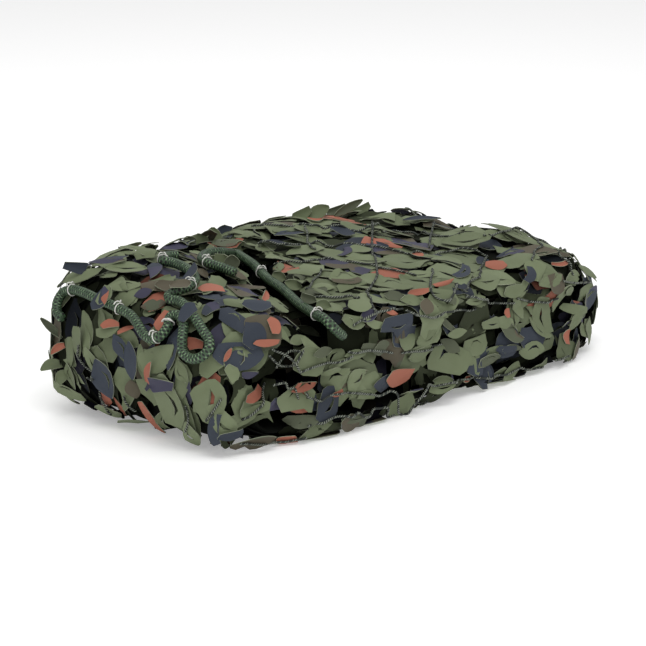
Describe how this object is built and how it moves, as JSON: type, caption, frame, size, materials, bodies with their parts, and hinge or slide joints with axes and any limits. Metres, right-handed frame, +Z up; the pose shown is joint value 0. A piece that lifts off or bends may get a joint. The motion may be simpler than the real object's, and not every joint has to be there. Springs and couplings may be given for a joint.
{
  "type": "camouflage net, folded",
  "caption": "Garnished camouflage net folded flat into a bundle: leaf-cut scrim on a knotted cord mesh, with a lashed border rope showing on the folds.",
  "frame": {"origin": "under the middle of the bundle's box, on the surface that it lies on", "axes": "+X along the bundle, from the stepped end to the rounded end; +Y across it; +Z up"},
  "size_m": [0.6236, 0.3576, 0.1644],
  "materials": {
    "scrim": "matt olive polyester, printed on one face",
    "net_cord": "dark green braided cord",
    "border_braid": "green braided rope with pale flecks",
    "lashing_twine": "white twine"
  },
  "bodies": {
    "root": {"net_body": "scrim", "net_mesh": "net_cord", "edge_rope_upper": "border_braid", "edge_rope_lower": "border_braid", "tie_01": "lashing_twine", "tie_02": "lashing_twine", "tie_03": "lashing_twine", "tie_04": "lashing_twine", "tie_05": "lashing_twine", "tie_06": "lashing_twine", "tie_07": "lashing_twine", "tie_08": "lashing_twine", "tie_09": "lashing_twine"}
  },
  "joints": []
}
